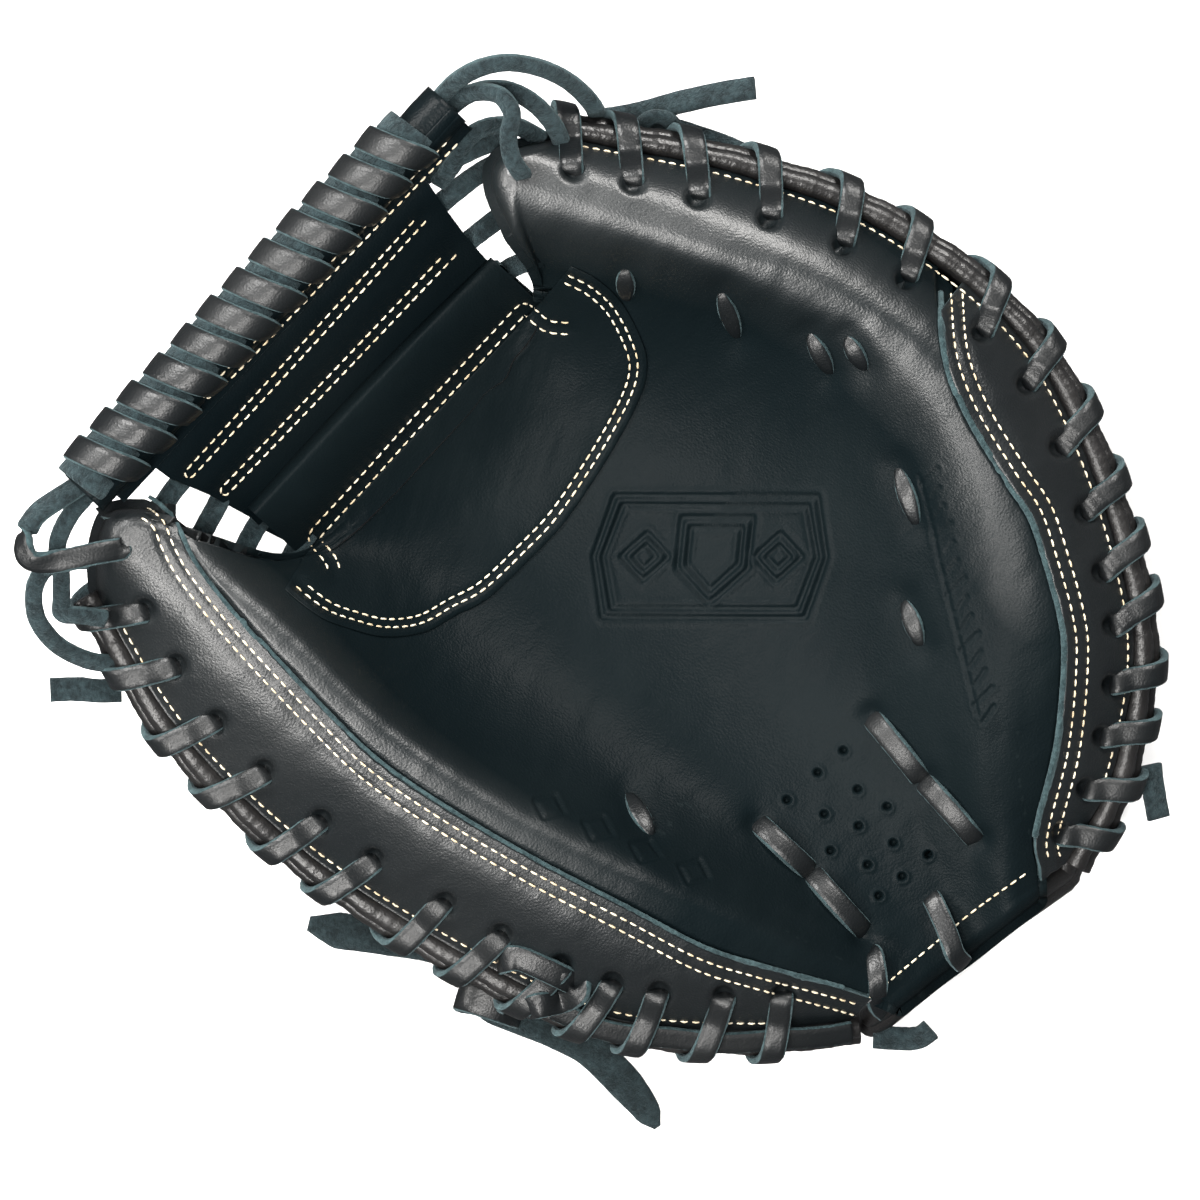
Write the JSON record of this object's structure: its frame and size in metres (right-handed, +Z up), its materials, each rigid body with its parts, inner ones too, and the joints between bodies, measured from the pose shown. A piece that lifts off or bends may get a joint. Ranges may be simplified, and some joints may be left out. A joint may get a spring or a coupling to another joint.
{
  "type": "baseball catcher's mitt",
  "caption": "Padded leather catcher's mitt for the left hand: deep round pocket, laced rims, bar-topped web, wrist strap, and a thumb side that folds to close on the ball.",
  "frame": {"origin": "on the surface that the back of the mitt rests on, under the middle of its outline without the two free lace tails", "axes": "+Y from the heel to the web, +X from the thumb side to the finger side, +Z up out of the pocket"},
  "size_m": [0.2618, 0.284, 0.1091],
  "materials": {
    "palm_leather": "smooth bluish-black steerhide with a soft sheen",
    "side_leather": "black grained leather with warm grey highlights",
    "back_leather": "black grained leather, satin",
    "web_leather": "black pebbled leather, satin",
    "binding_leather": "fine black rolled leather, semi-gloss",
    "lace_leather": "smooth black rawhide lace, satin",
    "lace_suede": "raw suede side of the lace, teal-black, matt",
    "lining_leather": "soft dark lining leather, matt",
    "felt": "pressed wool felt, matt",
    "fleece": "synthetic fleece, matt",
    "thread": "waxed ivory thread, satin"
  },
  "bodies": {
    "finger_side": {"palm_shell": "palm_leather", "palm_pad": "felt", "palm_lining": "lining_leather", "heel_binding": "binding_leather", "heel_lace": "lace_leather", "heel_lace_end": "lace_suede", "palm_lace_finger": "lace_leather", "palm_lace_thumb": "lace_leather", "pad_tie_laces": "lace_leather", "finger_gusset": "side_leather", "finger_pad": "felt", "finger_back": "back_leather", "finger_back_lining": "lining_leather", "little_finger_loop": "lining_leather", "finger_welt_front": "binding_leather", "finger_welt_back": "binding_leather", "finger_rim_lace": "lace_leather", "web_panel": "web_leather", "web_backing": "back_leather", "web_pocket_patch": "web_leather", "web_bar": "web_leather", "web_bar_wrap": "lace_leather", "web_side_lace_finger": "lace_suede", "web_side_lace_thumb": "lace_suede", "web_top_lace_finger": "lace_suede", "web_top_lace_thumb": "lace_suede", "wrist_strap": "back_leather", "wrist_strap_fleece": "fleece", "rim_lace_knot": "lace_suede", "rim_tail": "lace_suede", "rim_lace_end": "lace_suede", "rim_lace_heel_end": "lace_suede"},
    "thumb_side": {"thumb_gusset": "side_leather", "thumb_pad": "felt", "thumb_lining": "lining_leather", "thumb_back": "back_leather", "thumb_back_lining": "lining_leather", "thumb_loop": "lining_leather", "thumb_welt_front": "binding_leather", "thumb_welt_back": "binding_leather", "thumb_rim_lace": "lace_leather", "thumb_lace_end": "lace_suede", "strap_tie_knot": "lace_leather", "strap_tail_upper": "lace_suede", "strap_tail_lower": "lace_suede"}
  },
  "joints": [
    {"name": "pocket_fold", "type": "hinge", "parent": "finger_side", "child": "thumb_side", "pos_m": [-0.0085, -0.123, 0.04], "axis": [0, 0.9922, 0.1245], "range_deg": [0, 60], "stiffness_Nm_per_rad": 1.2, "springref_deg": -5.73, "deforming": ["palm_shell", "palm_lining", "palm_pad", "heel_binding", "heel_lace", "heel_lace_end", "palm_lace_thumb", "pad_tie_laces", "web_panel", "web_backing", "web_pocket_patch", "web_bar", "web_bar_wrap", "web_side_lace_finger", "web_side_lace_thumb", "web_top_lace_finger", "web_top_lace_thumb", "wrist_strap", "wrist_strap_fleece"]}
  ]
}
